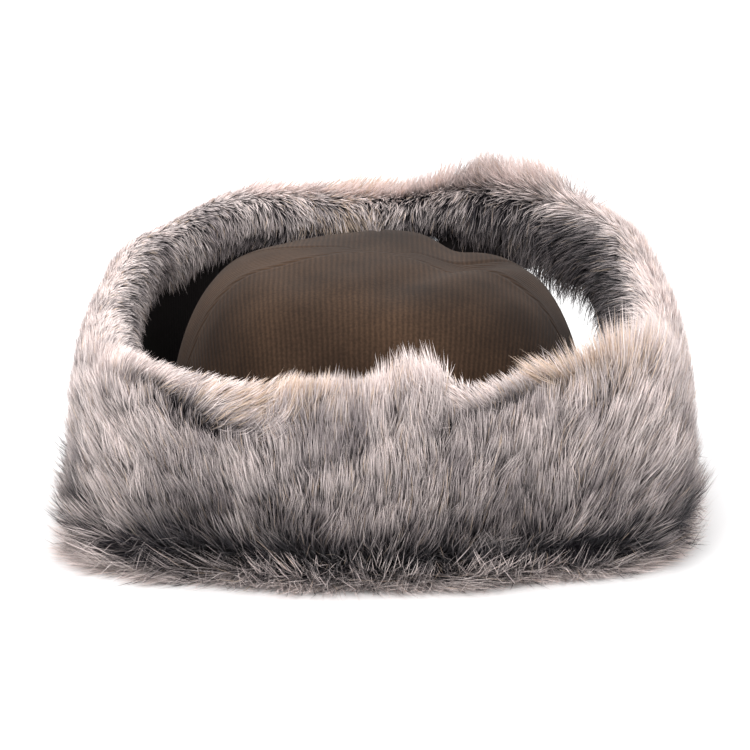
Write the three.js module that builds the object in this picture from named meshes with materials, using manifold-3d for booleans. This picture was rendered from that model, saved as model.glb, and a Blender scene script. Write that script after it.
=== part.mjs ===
// Winter hat with a soft corduroy crown and four deep-fur flaps turned up round it.
// Millimetres, +Z up. The hat rests on Z = 0 and its front faces -Y. Angles run from the
// front (0) past the wearer's left side, at +X (90), to the back (180), seen from above.
import * as THREE from "three";
import { mergeVertices } from "three/addons/utils/BufferGeometryUtils.js";
import Module from "manifold-3d";

const wasm = await Module();
wasm.setup();

// Crown
const crownHalfWidth = 94;
const crownHalfLength = 102;
const crownHeight = 102; // from the hem to the top of the dome
const crownWall = 2.6;
const crownSquareness = 2.25; // exponent of its plan, 2 is an ellipse
const crownSeams = [0, 67.5, 112.5, 180, 247.5, 292.5]; // angles of the seams between panels
const panelSwell = 2.6; // how far a panel stands out between its seams
const seamReach = 14; // angle over which a panel rises from its seam
const hemGap = 0.3; // between the hem and the cloth that it is sewn to

// Flaps: cloth towards the crown, fur outside
const clothWall = 2.4;
const channelWidth = 16; // between crown and flap at the fold
const flapFlare = 9; // how far a flap leans out at its top edge
const flapRise = 88; // height of the cloth's top edge
const foldRadius = 9; // of the turn-up at the foot of a flap
const floorPile = 3.8; // fur pressed flat under the fold
const furGap = 0.3; // between the fur's backing and the cloth
const flapGap = 1.2; // between neighbouring flaps
const flapSquareness = 2.45;

// Fur
const pileDepth = 27; // of the fur's body, without the locks
const pileCrest = 13; // how far the fur's body stands above the cloth's edge
const edgeTurn = 11; // how far the fur wraps down inside the edge
const edgeDepth = 7; // of the fur inside the edge
const lockLength = 38;
const lockWidth = 27;
const lockThickness = 13;
const lockLift = 0.13; // sine of the angle between a lock and the fur's body
const lockRoot = 8; // how deep a lock is rooted in the fur's body

// Press stud on the neck flap
const studRadius = 4.5;
const studHeight = 2.6;
const studGap = 0.3; // between the stud and the cloth
const studAngle = 169; // set on the flat facet that holds this angle
const studDrop = 0.8; // between the stud and the end of the fur above it

const radians = THREE.MathUtils.degToRad;

// The ring of flaps, seen from above: shares of channelWidth, flapFlare, pileDepth and flapRise
const ring = [
  { angle: 0, channel: 0.55, flare: 0.5, pile: 1.0, rise: 0.8 },
  { angle: 24, channel: 0.6, flare: 0.5, pile: 1.05, rise: 0.78 },
  { angle: 48, channel: 1.4, flare: 0.1, pile: 1.4, rise: 0.84 },
  { angle: 75, channel: 1.0, flare: 0.2, pile: 1.1, rise: 0.86 },
  { angle: 100, channel: 1.0, flare: 0.4, pile: 1.0, rise: 0.94 },
  { angle: 130, channel: 1.1, flare: 0.8, pile: 1.0, rise: 1.12 },
  { angle: 155, channel: 1.1, flare: 1.0, pile: 1.0, rise: 1.2 },
  { angle: 180, channel: 1.0, flare: 0.9, pile: 0.9, rise: 1.12 },
  { angle: 208, channel: 1.1, flare: 1.0, pile: 0.95, rise: 1.16 },
  { angle: 232, channel: 1.1, flare: 0.8, pile: 1.0, rise: 1.04 },
  { angle: 258, channel: 1.0, flare: 0.4, pile: 1.0, rise: 0.92 },
  { angle: 285, channel: 1.0, flare: 0.2, pile: 1.1, rise: 0.86 },
  { angle: 312, channel: 1.4, flare: 0.1, pile: 1.4, rise: 0.84 },
  { angle: 336, channel: 0.6, flare: 0.5, pile: 1.05, rise: 0.78 },
];

// Where each flap begins and ends, in degrees, at its foot and at its top edge; lean turns the
// cut between two flaps away from the straight way out, so that one laps over the other
const flaps = [
  {
    name: "visor",
    from: { foot: -50, top: -40, lean: -20 },
    to: { foot: 50, top: 40, lean: 20 },
    columns: 8,
  },
  {
    name: "neck",
    from: { foot: 147, top: 148, lean: -40 },
    to: { foot: 214, top: 206, lean: 40 },
    columns: 6,
  },
  {
    name: "ear_left",
    from: { foot: 50, top: 40, lean: 20 },
    to: { foot: 147, top: 148, lean: -40 },
    columns: 8,
  },
  {
    name: "ear_right",
    from: { foot: 214, top: 206, lean: 40 },
    to: { foot: 310, top: 320, lean: -20 },
    columns: 8,
  },
];

// The opening under the back end of the left ear flap: its top, as a share of flapRise
const opening = [
  { angle: 113, up: 0 },
  { angle: 117, up: 0.455 },
  { angle: 123, up: 0.727 },
  { angle: 137, up: 0.875 },
  { angle: 150, up: 0.955 },
  { angle: 158, up: 0.91 },
  { angle: 166, up: 0.545 },
  { angle: 170, up: 0 },
];

// Soft dents of the crown: place across and along the plan and reach as shares of the
// crown's half width, depth as a share of its height
const dents = [
  { across: 0.36, along: 0.1, reach: 0.26, depth: 0.06 },
  { across: -0.45, along: 0.35, reach: 0.4, depth: 0.04 },
  { across: 0.1, along: -0.62, reach: 0.35, depth: 0.03 },
];

// Rows of locks: up is where they root, as a share of the flap's height, and size a share of
// lockLength. They head up by climb, down if it is negative, and away from the hat by stray.
const lockRows = [
  { up: 0.1, size: 0.46, climb: -0.35, stray: 1 },
  { up: 0.16, size: 1.0, climb: 1, stray: 0 },
  { up: 0.44, size: 1.0, climb: 1, stray: -0.08 },
  { up: 0.74, size: 0.9, climb: 1, stray: -0.42 },
];

const stations = 48;

// Reads a column of the ring table at an angle, with smooth turns between its rows.
function ringShare(angle, column) {
  const turn = ((angle % 360) + 360) % 360;
  const next = ring.findIndex((row) => row.angle > turn);
  const after = next < 0 ? ring.length : next;
  const low = ring[after - 1];
  const high = ring[after % ring.length];
  const span = (high.angle - low.angle + 360) % 360;
  const t = THREE.MathUtils.smoothstep((turn - low.angle) / span, 0, 1);
  return THREE.MathUtils.lerp(low[column], high[column], t);
}

// Radius of a superellipse at an angle from the front.
function planRadius(angle, halfWidth, halfLength, squareness) {
  const across = Math.abs(Math.sin(radians(angle)) / halfWidth) ** squareness;
  const along = Math.abs(Math.cos(radians(angle)) / halfLength) ** squareness;
  return (across + along) ** (-1 / squareness);
}

function place(angle, radius, z) {
  return new THREE.Vector3(
    Math.sin(radians(angle)) * radius,
    -Math.cos(radians(angle)) * radius,
    z,
  );
}

const foldLow = floorPile + furGap;
const toeTop = foldLow + clothWall;
const hemHeight = toeTop + hemGap;

function crownRadius(angle) {
  return planRadius(angle, crownHalfWidth, crownHalfLength, crownSquareness);
}

function riseAt(angle) {
  return flapRise * ringShare(angle, "rise");
}

function pileAt(angle) {
  return pileDepth * ringShare(angle, "pile");
}

// Radius of the cloth's outer face at a share of the flap's height.
function flapRadius(angle, up) {
  const channel = channelWidth * ringShare(angle, "channel");
  const foot = planRadius(
    angle,
    crownHalfWidth + channel,
    crownHalfLength + channel,
    flapSquareness,
  );
  return foot + clothWall + flapFlare * ringShare(angle, "flare") * up;
}

// A solid from rings of points, each joined to the next. A ring of one point is a pole, and
// a closed solid has its last ring joined to its first.
function solidFromRings(rings, closed = false) {
  const starts = rings.map((_, i) =>
    rings.slice(0, i).reduce((sum, loop) => sum + loop.length, 0),
  );
  const faces = [];
  const joints = closed ? rings.length : rings.length - 1;
  for (let i = 0; i < joints; i += 1) {
    const j = (i + 1) % rings.length;
    const [a, b] = [rings[i].length, rings[j].length];
    for (let k = 0; k < Math.max(a, b); k += 1) {
      const low = [starts[i] + (k % a), starts[i] + ((k + 1) % a)];
      const high = [starts[j] + (k % b), starts[j] + ((k + 1) % b)];
      if (a > 1) faces.push(low[0], low[1], high[0]);
      if (b > 1) faces.push(low[1], high[1], high[0]);
    }
  }
  const geometry = new THREE.BufferGeometry().setFromPoints(rings.flat());
  geometry.setIndex(faces);
  return toManifold(geometry);
}

// Merges a geometry's shared vertices and turns it face out.
function toManifold(geometry) {
  const bare = geometry.clone();
  bare.deleteAttribute("normal");
  bare.deleteAttribute("uv");
  const merged = mergeVertices(bare, 1e-4);
  const vertProperties = merged.attributes.position.array;
  const triVerts = new Uint32Array(merged.index.array);
  const made = new wasm.Manifold(
    new wasm.Mesh({ numProp: 3, vertProperties, triVerts }),
  );
  if (made.volume() > 0) return made;
  const turned = triVerts.slice().reverse();
  return new wasm.Manifold(
    new wasm.Mesh({ numProp: 3, vertProperties, triVerts: turned }),
  );
}

function toGeometry(manifold) {
  const mesh = manifold.getMesh();
  const geometry = new THREE.BufferGeometry();
  const positions = new Float32Array(mesh.numVert * 3);
  for (let i = 0; i < mesh.numVert; i += 1) {
    const start = i * mesh.numProp;
    positions.set(mesh.vertProperties.subarray(start, start + 3), i * 3);
  }
  geometry.setAttribute("position", new THREE.BufferAttribute(positions, 3));
  geometry.setIndex(new THREE.BufferAttribute(mesh.triVerts, 1));
  geometry.computeVertexNormals();
  return geometry;
}

function turnBetween(first, second) {
  const turn = Math.abs(first - second) % 360;
  return Math.min(turn, 360 - turn);
}

// A point of the crown's cloth: climb runs from the hem (0) to the top (1).
function crownPoint(angle, climb, inset) {
  const lift = (Math.PI / 2) * climb;
  const fromSeam = Math.min(...crownSeams.map((seam) => turnBetween(angle, seam)));
  const sunk = Math.exp(-((fromSeam / seamReach) ** 2));
  const swell = -panelSwell * sunk * Math.sin(Math.PI * (0.1 + 0.9 * climb));
  const radius = (crownRadius(angle) - inset) * Math.cos(lift) ** 0.44;
  const point = place(angle, radius + swell * Math.cos(lift), 0);
  const sag = dents.reduce((sum, dent) => {
    const away = Math.hypot(
      point.x / crownHalfWidth - dent.across,
      point.y / crownHalfWidth - dent.along,
    );
    return sum + dent.depth * Math.exp(-((away / dent.reach) ** 2));
  }, 0);
  point.z = hemHeight + (crownHeight - inset) * Math.sin(lift) ** 0.88 * (1 - sag);
  return point;
}

function makeCrown() {
  const climbs = [0, 0.14, 0.28, 0.42, 0.56, 0.7, 0.82, 0.93];
  const ringAt = (climb, inset) =>
    Array.from({ length: stations }, (_, k) =>
      crownPoint((360 * k) / stations, climb, inset),
    );
  return solidFromRings([
    [crownPoint(0, 1, 0)],
    ...climbs.toReversed().map((climb) => ringAt(climb, 0)),
    ...climbs.map((climb) => ringAt(climb, crownWall)),
    [crownPoint(0, 1, crownWall)],
  ]);
}

// A section point has its height as a share of the flap's height (up) plus millimetres
// (above), and its distance out from the cloth's outer face, or from the crown where toe is set.
function sectionPoint(angle, { up = 0, above = 0, out = 0, toe = false }) {
  const start = toe ? crownRadius(angle) : flapRadius(angle, up);
  return place(angle, start + out, riseAt(angle) * up + above);
}

// The quarter turn at a flap's foot, from the floor (0) to upright (90), at a distance in
// from the cloth's outer face.
function foldPoint(turn, inset) {
  const reach = foldRadius - inset;
  return {
    out: reach * Math.sin(radians(turn)) - foldRadius,
    above: foldLow + foldRadius - reach * Math.cos(radians(turn)),
  };
}

const foldTurns = [0, 45, 90];
const clothHeights = [0.45, 0.75, 1];

function clothSection() {
  const face = (inset) => [
    { toe: true, out: -crownWall, above: foldLow + inset },
    ...foldTurns.map((turn) => foldPoint(turn, inset)),
    ...clothHeights.map((up) => ({ up, out: -inset })),
  ];
  return [...face(0), ...face(clothWall).toReversed()];
}

// Height share of a point inside the top edge, at a share of edgeTurn below it.
function lastUp(share) {
  return 1 - (share * edgeTurn) / flapRise;
}

// The fur lies on the floor, follows the cloth's outer face and wraps over its top edge. The
// outline is turned round so that its facets beside the cloth split the way the cloth's do.
function furSection(angle) {
  const pile = pileAt(angle);
  return [
    { toe: true, out: furGap },
    { out: pile * 0.78 },
    { out: pile * 0.97, above: 8 },
    { up: 0.3, out: pile },
    { up: 0.62, out: pile * 0.98 },
    { up: 0.9, out: pile * 0.85 },
    { up: 1, out: pile * 0.52, above: pileCrest * 0.7 },
    { up: 1, out: pile * 0.08, above: pileCrest },
    { up: 1, out: -clothWall - edgeDepth * 0.75, above: pileCrest * 0.5 },
    { up: lastUp(0.4), out: -clothWall - edgeDepth },
    { up: lastUp(1), out: -clothWall - edgeDepth * 0.5 },
    { up: lastUp(1), out: -clothWall - furGap },
    { up: 1, out: -clothWall - furGap, above: furGap },
    { up: 1, out: furGap, above: furGap },
    ...clothHeights.slice(0, -1).toReversed().map((up) => ({ up, out: furGap })),
    ...foldTurns.toReversed().map((turn) => foldPoint(turn, -furGap)),
    { toe: true, out: furGap, above: floorPile },
  ].toReversed();
}

// Carries a section all the way round the hat.
function makeBand(section) {
  const rings = Array.from({ length: stations }, (_, k) => {
    const angle = (360 * k) / stations;
    return section(angle).map((point) => sectionPoint(angle, point));
  });
  return solidFromRings(rings, true);
}

// The upright wedge of space that a flap fills, grown sideways by a distance.
function makeSector(flap, grow) {
  const reference = crownHalfWidth + channelWidth;
  const edge = (side, sign) => {
    const middle = (side.foot + side.top) / 2;
    const way = place(middle + side.lean, 1, 0);
    const across = place(middle + side.lean + 90 * sign, grow, 0);
    return [-0.25 * flapRise, 2.5 * flapRise].map((z) => {
      const foot = place(side.foot, reference, 0);
      const top = place(side.top, reference, 0);
      const start = foot.lerp(top, z / flapRise).add(across).setZ(z);
      return [-0.8 * reference, 4 * reference].map((reach) =>
        start.clone().addScaledVector(way, reach),
      );
    });
  };
  const [low, high] = [edge(flap.from, -1), edge(flap.to, 1)];
  return solidFromRings([
    [centreOf(low.flat())],
    [low[0][0], low[0][1], low[1][1], low[1][0]],
    [high[0][0], high[0][1], high[1][1], high[1][0]],
    [centreOf(high.flat())],
  ]);
}

// The wedge of space that the opening takes out of the flaps.
function makeOpening() {
  const [near, far] = [crownHalfWidth / 2, crownHalfWidth * 3];
  const rings = opening.map(({ angle, up }) => [
    place(angle, near, -flapRise / 8),
    place(angle, far, -flapRise / 8),
    place(angle, far, up * flapRise),
    place(angle, near, up * flapRise),
  ]);
  return solidFromRings([
    [centreOf(rings[0])],
    ...rings,
    [centreOf(rings[rings.length - 1])],
  ]);
}

// Height of the opening at an angle, 0 beside it.
function openingTop(angle) {
  const i = opening.findIndex((row) => row.angle > angle);
  if (i < 1) return 0;
  const [low, high] = [opening[i - 1], opening[i]];
  const t = (angle - low.angle) / (high.angle - low.angle);
  return THREE.MathUtils.lerp(low.up, high.up, t) * flapRise;
}

function centreOf(points) {
  const sum = points.reduce((total, p) => total.add(p), new THREE.Vector3());
  return sum.divideScalar(points.length);
}

// A lock of fur: a flat tapering wedge that leaves the body towards its tip.
function makeLock(root, along, out, size) {
  const side = along.clone().cross(out).normalize();
  const length = size * lockLength;
  const at = (share) =>
    root
      .clone()
      .addScaledVector(along, share * length)
      .addScaledVector(out, lockLift * length * share ** 1.5 - lockRoot * (1 - share));
  const rings = [[0, 0.9], [0.4, 1], [0.78, 0.5]].map(([share, width]) =>
    Array.from({ length: 4 }, (_, k) => {
      const turn = (Math.PI * k) / 2;
      return at(share)
        .addScaledVector(side, (Math.cos(turn) * lockWidth * width * size) / 2)
        .addScaledVector(out, (Math.sin(turn) * lockThickness * width) / 2);
    }),
  );
  return solidFromRings([[at(0)], ...rings, [at(1)]]);
}

// A repeatable number from 0 to 1 for a lock's place in the rows.
function chance(i, j) {
  const wave = Math.sin(i * 12.9898 + j * 78.233) * 43758.5453;
  return wave - Math.floor(wave);
}

// Angle of a flap's side edge out at the fur's surface, where the cut's lean has turned it.
function edgeAngle(side, up) {
  const reach = crownHalfWidth + channelWidth + pileDepth;
  const shift = Math.atan((pileDepth * Math.tan(radians(side.lean))) / reach);
  return THREE.MathUtils.lerp(side.foot, side.top, up) + THREE.MathUtils.radToDeg(shift);
}

function lockAngle(flap, across, up) {
  return THREE.MathUtils.lerp(edgeAngle(flap.from, up), edgeAngle(flap.to, up), across);
}

function lockAt(angle, row, i, j) {
  const depth = row.climb < 0 ? 0.6 : 0.95;
  const on = (a) => sectionPoint(a, { up: row.up, out: pileAt(a) * depth });
  const side = on(angle + 1).sub(on(angle - 1)).normalize();
  const up = new THREE.Vector3(0, 0, 1);
  const out = side.clone().cross(up).normalize();
  const sway = (chance(i, j) - 0.5) * 0.5;
  const along = up
    .clone()
    .multiplyScalar(row.climb)
    .addScaledVector(side, sway)
    .addScaledVector(out, row.stray)
    .normalize();
  const rest = out.clone().addScaledVector(along, -out.dot(along)).normalize();
  const size = row.size * (0.8 + 0.4 * chance(j + 7, i));
  return makeLock(on(angle), along, row.climb < 0 ? up : rest, size);
}

function makeLocks(flap) {
  return lockRows.flatMap((row, j) => {
    const count = flap.columns - (j % 2);
    const angles = Array.from({ length: count }, (_, i) =>
      lockAngle(flap, (i + 0.5 + (j % 2) / 2) / flap.columns, row.up),
    );
    return angles
      .filter((angle) => openingTop(angle) < row.up * riseAt(angle))
      .map((angle, i) => lockAt(angle, row, i, j));
  });
}

// The stud lies on the inner face of the neck flap's cloth and points at the crown.
function makeStud() {
  const profile = [
    [0, 0],
    [studRadius, 0],
    [studRadius, studHeight * 0.4],
    [studRadius * 0.65, studHeight * 0.9],
    [0, studHeight],
  ];
  const points = profile.map(([r, z]) => new THREE.Vector2(r, z));
  const step = 360 / stations;
  const facet = Math.floor(studAngle / step) * step;
  const on = (angle, share) => sectionPoint(angle, { up: share, out: -clothWall });
  const up = lastUp(1) - (studRadius + studDrop) / riseAt(studAngle);
  const [near, far] = [on(facet, up), on(facet + step, up)];
  const side = far.clone().sub(near).normalize();
  const rise = on(facet, 1).sub(near).normalize();
  const inward = rise.clone().cross(side).normalize();
  const middle = near.lerp(far, 0.5).addScaledVector(inward, studGap);
  const turn = new THREE.Matrix4().makeBasis(side, inward, rise).setPosition(middle);
  return new THREE.LatheGeometry(points, 16).applyMatrix4(turn);
}

const corduroy = { color: 0x5b4a3d, roughness: 0.95, metalness: 0 };
const furLook = { color: 0xa89f9f, roughness: 0.9, metalness: 0 };
const steel = { color: 0xc8ccd2, roughness: 0.3, metalness: 1 };

function addMesh(group, name, geometry, look) {
  const mesh = new THREE.Mesh(geometry, new THREE.MeshStandardMaterial(look));
  mesh.name = name;
  group.add(mesh);
  return mesh;
}

// Visor and neck flap keep their whole sectors, and the ear flaps fill what is left.
function sectorOf(flap) {
  const own = makeSector(flap, 0);
  if (!flap.name.startsWith("ear")) return own;
  return flaps
    .filter((other) => !other.name.startsWith("ear"))
    .reduce((rest, other) => rest.subtract(makeSector(other, flapGap)), own);
}

const hat = new THREE.Group();
addMesh(hat, "crown", toGeometry(makeCrown()), corduroy);
const clothBand = makeBand(clothSection);
const furBand = makeBand(furSection);
const gapWedge = makeOpening();
const floorSize = 8 * crownHalfLength;
const floorBox = new THREE.BoxGeometry(floorSize, floorSize, flapRise);
const floor = toManifold(floorBox.translate(0, 0, -flapRise / 2));
for (const flap of flaps) {
  const sector = sectorOf(flap).subtract(gapWedge);
  const locked = makeLocks(flap).reduce((sum, lock) => sum.add(lock), furBand);
  const fur = locked.intersect(sector).subtract(floor);
  addMesh(hat, `${flap.name}_cloth`, toGeometry(clothBand.intersect(sector)), corduroy);
  addMesh(hat, `${flap.name}_fur`, toGeometry(fur), furLook);
}

addMesh(hat, "press_stud", toGeometry(toManifold(makeStud())), steel);

// The origin is the middle of the hat's bounding box, on the floor.
const middle = new THREE.Box3().setFromObject(hat).getCenter(new THREE.Vector3());
for (const mesh of hat.children) mesh.position.set(-middle.x, -middle.y, 0);

export default hat;
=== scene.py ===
"""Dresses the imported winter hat: corduroy crown, cloth flaps and deep two-tone fur.

Lengths in the tables are millimetres on the hat's own axes and become metres in the frame.
Angles are degrees seen from above, from the front (0) past the wearer's left ear (90).
"""

import bmesh
import bpy
import numpy as np
from bpy.props import FloatProperty, FloatVectorProperty, PointerProperty
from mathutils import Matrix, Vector


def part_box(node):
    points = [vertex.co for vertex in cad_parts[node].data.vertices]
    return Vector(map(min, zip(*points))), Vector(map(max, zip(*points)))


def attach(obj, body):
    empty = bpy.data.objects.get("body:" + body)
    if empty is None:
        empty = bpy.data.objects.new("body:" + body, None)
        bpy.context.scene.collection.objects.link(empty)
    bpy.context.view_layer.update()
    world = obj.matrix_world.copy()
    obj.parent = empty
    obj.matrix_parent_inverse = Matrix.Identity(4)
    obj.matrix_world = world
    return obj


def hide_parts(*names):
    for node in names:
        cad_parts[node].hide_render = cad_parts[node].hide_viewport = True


bl_info = {
    "name": "Winter hat with turned-up fur flaps",
    "version": (1, 0, 0),
    "blender": (4, 5, 0),
    "location": "3D View > Sidebar > Winter Hat",
    "description": "Builds a corduroy hat with deep fur flaps round the packed frame",
    "category": "Add Mesh",
}

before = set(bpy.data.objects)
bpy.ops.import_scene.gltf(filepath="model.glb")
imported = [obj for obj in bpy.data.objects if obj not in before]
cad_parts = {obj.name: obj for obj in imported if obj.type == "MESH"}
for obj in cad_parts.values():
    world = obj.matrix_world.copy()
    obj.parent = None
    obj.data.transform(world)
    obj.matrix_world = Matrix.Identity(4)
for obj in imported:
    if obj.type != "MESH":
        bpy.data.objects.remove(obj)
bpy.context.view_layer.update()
CROWN_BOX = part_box("crown")

# Sizes of the construction, in millimetres
CROWN_HALF_WIDTH = 94.0
CROWN_HALF_LENGTH = 102.0
CROWN_HEIGHT = 102.0
CROWN_WALL = 2.6
CROWN_SQUARENESS = 2.25
CROWN_SEAMS = (0, 67.5, 112.5, 180, 247.5, 292.5)
PANEL_SWELL = 2.6
SEAM_REACH = 14.0
CHANNEL = 16.0
CLOTH_WALL = 2.4
FLAP_FLARE = 9.0
FLAP_RISE = 88.0
FLAP_SQUARENESS = 2.45
FOLD_RADIUS = 9.0
FLOOR_PILE = 3.8
FUR_GAP = 0.3
FLAP_GAP = 1.2
PILE_DEPTH = 27.0
PILE_CREST = 13.0
EDGE_TURN = 11.0
EDGE_DEPTH = 7.0

FOLD_LOW = FLOOR_PILE + FUR_GAP
TOE_TOP = FOLD_LOW + CLOTH_WALL
HEM_HEIGHT = TOE_TOP + FUR_GAP

# The ring of flaps: shares of CHANNEL, FLAP_FLARE, PILE_DEPTH and FLAP_RISE at each angle
RING_ANGLE = np.array([0, 24, 48, 75, 100, 130, 155, 180, 208, 232, 258, 285, 312, 336.0])
RING = {
    "channel": (0.55, 0.6, 1.4, 1.0, 1.0, 1.1, 1.1, 1.0, 1.1, 1.1, 1.0, 1.0, 1.4, 0.6),
    "flare": (0.5, 0.5, 0.1, 0.2, 0.4, 0.8, 1.0, 0.9, 1.0, 0.8, 0.4, 0.2, 0.1, 0.5),
    "pile": (1.0, 1.05, 1.4, 1.1, 1.0, 1.0, 1.0, 0.9, 0.95, 1.0, 1.0, 1.1, 1.4, 1.05),
    "rise": (0.8, 0.78, 0.84, 0.86, 0.94, 1.12, 1.2, 1.12, 1.16, 1.04, 0.92, 0.86, 0.84, 0.78),
}

# Side edges of each flap: (angle at the foot, angle at the top, lean of the cut)
FLAPS = {
    "visor": {"from": (-50, -40, -20), "to": (50, 40, 20)},
    "neck": {"from": (147, 148, -40), "to": (214, 206, 40)},
    "ear_left": {"from": (50, 40, 20), "to": (147, 148, -40)},
    "ear_right": {"from": (214, 206, 40), "to": (310, 320, -20)},
}

# The opening under the back end of the left ear flap: angles of its two sides by height share
OPENING_FRONT = ((0, 0.455, 0.727, 0.875, 0.955, 0.956), (113, 117, 123, 137, 149, 180))
OPENING_BACK = ((0, 0.545, 0.91, 0.955, 0.956), (170, 166, 158, 149, 90))
OPENING_TOP = ((113, 117, 123, 137, 149, 158, 166, 170), (0, 0.455, 0.727, 0.875, 0.955, 0.91, 0.545, 0))

# Soft dents of the crown: across, along and reach as shares of its half width, depth of height
DENTS = ((0.36, 0.1, 0.26, 0.06), (-0.45, 0.35, 0.4, 0.04), (0.1, -0.62, 0.35, 0.03))


def seeded(number):
    """A random generator that gives the same numbers in every run."""
    return np.random.default_rng(1000 + number)


def to_frame(points):
    """Moves hat points in millimetres to the frame in metres: the crown's middle is the axis."""
    middle = (np.array(CROWN_BOX[0]) + np.array(CROWN_BOX[1])) / 2
    return np.asarray(points) * 0.001 + np.array([middle[0], middle[1], 0.0])


def ring_share(angle, column):
    """A column of the ring table, eased between rows with 3t^2 - 2t^3."""
    turn = np.mod(angle, 360.0)
    values = np.array(RING[column])
    low = np.searchsorted(RING_ANGLE, turn, side="right") - 1
    high = (low + 1) % len(values)
    span = np.mod(RING_ANGLE[high] - RING_ANGLE[low], 360.0)
    t = (turn - RING_ANGLE[low]) / span
    t = t * t * (3 - 2 * t)
    return values[low] * (1 - t) + values[high] * t


def plan_radius(angle, half_width, half_length, squareness):
    """Radius of a superellipse: the sum of the shares to a power, to minus one over the power."""
    across = np.abs(np.sin(np.radians(angle)) / half_width) ** squareness
    along = np.abs(np.cos(np.radians(angle)) / half_length) ** squareness
    return (across + along) ** (-1 / squareness)


def place(angle, radius, z):
    """Point at an angle from the front, a radius from the axis and a height."""
    turn = np.radians(angle)
    return np.stack(np.broadcast_arrays(np.sin(turn) * radius, -np.cos(turn) * radius, z), -1)


def crown_radius(angle):
    """Radius of the crown's plan at an angle."""
    return plan_radius(angle, CROWN_HALF_WIDTH, CROWN_HALF_LENGTH, CROWN_SQUARENESS)


def flap_radius(angle, up):
    """Radius of the flap cloth's outer face: the crown's plan grown by the channel, and flared."""
    channel = CHANNEL * ring_share(angle, "channel")
    foot = plan_radius(
        angle, CROWN_HALF_WIDTH + channel, CROWN_HALF_LENGTH + channel, FLAP_SQUARENESS
    )
    return foot + CLOTH_WALL + FLAP_FLARE * ring_share(angle, "flare") * up


def cut_angle(side, radius, z):
    """Angle where a flap's side cut meets a radius.

    The cut starts on a line from foot to top and runs out level, so its distance out is the
    root of a quadratic.
    """
    foot, top, lean = side
    reference = CROWN_HALF_WIDTH + CHANNEL
    low, high = place(foot, reference, 0.0)[:2], place(top, reference, 0.0)[:2]
    start = low + (high - low) * (np.asarray(z) / FLAP_RISE)[..., None]
    way = place((foot + top) / 2 + lean, 1.0, 0.0)[:2]
    along = start @ way
    reach = -along + np.sqrt(np.maximum(along**2 - (start**2).sum(-1) + radius**2, 0.0))
    point = start + reach[..., None] * way
    angle = np.degrees(np.arctan2(point[..., 0], -point[..., 1]))
    return foot + np.mod(angle - foot + 180.0, 360.0) - 180.0


def side_angle(flap, end, radius, z):
    """Angle of a flap's side edge, held back by the opening and by half the gap."""
    angle = cut_angle(FLAPS[flap][end], radius, z)
    half_gap = np.degrees(0.5 * FLAP_GAP / radius)
    if (flap, end) == ("ear_left", "to"):
        angle = np.minimum(angle, np.interp(z / FLAP_RISE, *OPENING_FRONT))
    if (flap, end) == ("neck", "from"):
        angle = np.maximum(angle, np.interp(z / FLAP_RISE, *OPENING_BACK))
    return angle + half_gap if end == "from" else angle - half_gap


# Places across a flap's section: toe (from the crown, not the flap), share of the flap's
# height, millimetres above that, and millimetres out plus shares of the pile's depth
LAST = EDGE_TURN / FLAP_RISE
INNER = -CLOTH_WALL - FUR_GAP
PILE_FACE = np.array(
    [
        # toe, up, above, out, pile
        (1, 0, 0.0, FUR_GAP, 0.0),
        (0, 0, 0.0, 0.0, 0.3),
        (0, 0, 0.0, 0.0, 0.78),
        (0, 0, 8.0, 0.0, 0.97),
        (0, 0.3, 0.0, 0.0, 1.0),
        (0, 0.62, 0.0, 0.0, 0.98),
        (0, 0.9, 0.0, 0.0, 0.85),
        (0, 1, 0.7 * PILE_CREST, 0.0, 0.52),
        (0, 1, PILE_CREST, 0.0, 0.08),
        (0, 1, 0.5 * PILE_CREST, -CLOTH_WALL - 0.75 * EDGE_DEPTH, 0.0),
        (0, 1 - 0.4 * LAST, 0.0, -CLOTH_WALL - EDGE_DEPTH, 0.0),
        (0, 1 - LAST, 0.0, -CLOTH_WALL - 0.5 * EDGE_DEPTH, 0.0),
    ]
)
BACKING_FACE = np.array(
    [
        (1, 0, FLOOR_PILE, FUR_GAP, 0.0),
        (0, 0, FLOOR_PILE, -5.0, 0.0),
        (0, 0, FLOOR_PILE + 2.6, -1.6, 0.0),
        (0, 0, FLOOR_PILE + 11.0, FUR_GAP, 0.0),
        (0, 0.3, 0.0, FUR_GAP, 0.0),
        (0, 0.62, 0.0, FUR_GAP, 0.0),
        (0, 0.9, 0.0, FUR_GAP, 0.0),
        (0, 1, FUR_GAP, FUR_GAP, 0.0),
        (0, 1, FUR_GAP, -0.5 * CLOTH_WALL, 0.0),
        (0, 1, FUR_GAP, INNER, 0.0),
        (0, 1 - 0.4 * LAST, 0.0, INNER, 0.0),
        (0, 1 - LAST, 0.0, INNER, 0.0),
    ]
)


def fold_rows(inset):
    """Rows for the quarter turn at a flap's foot, at a distance in from its outer face."""
    turns = np.radians([0, 30, 60, 90])
    reach = FOLD_RADIUS - inset
    rows = np.zeros((4, 5))
    rows[:, 2] = FOLD_LOW + FOLD_RADIUS - reach * np.cos(turns)
    rows[:, 3] = reach * np.sin(turns) - FOLD_RADIUS
    return rows


def cloth_rows(inset):
    """Rows of the flap cloth's face at a depth: toe, quarter turn and upright."""
    toe = np.array([[1, 0, FOLD_LOW + inset, -CROWN_WALL, 0.0]])
    upright = np.array([[0, up, 0.0, -inset, 0.0] for up in (0.3, 0.5, 0.7, 0.85, 1.0)])
    return np.vstack([toe, fold_rows(inset), upright])


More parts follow.
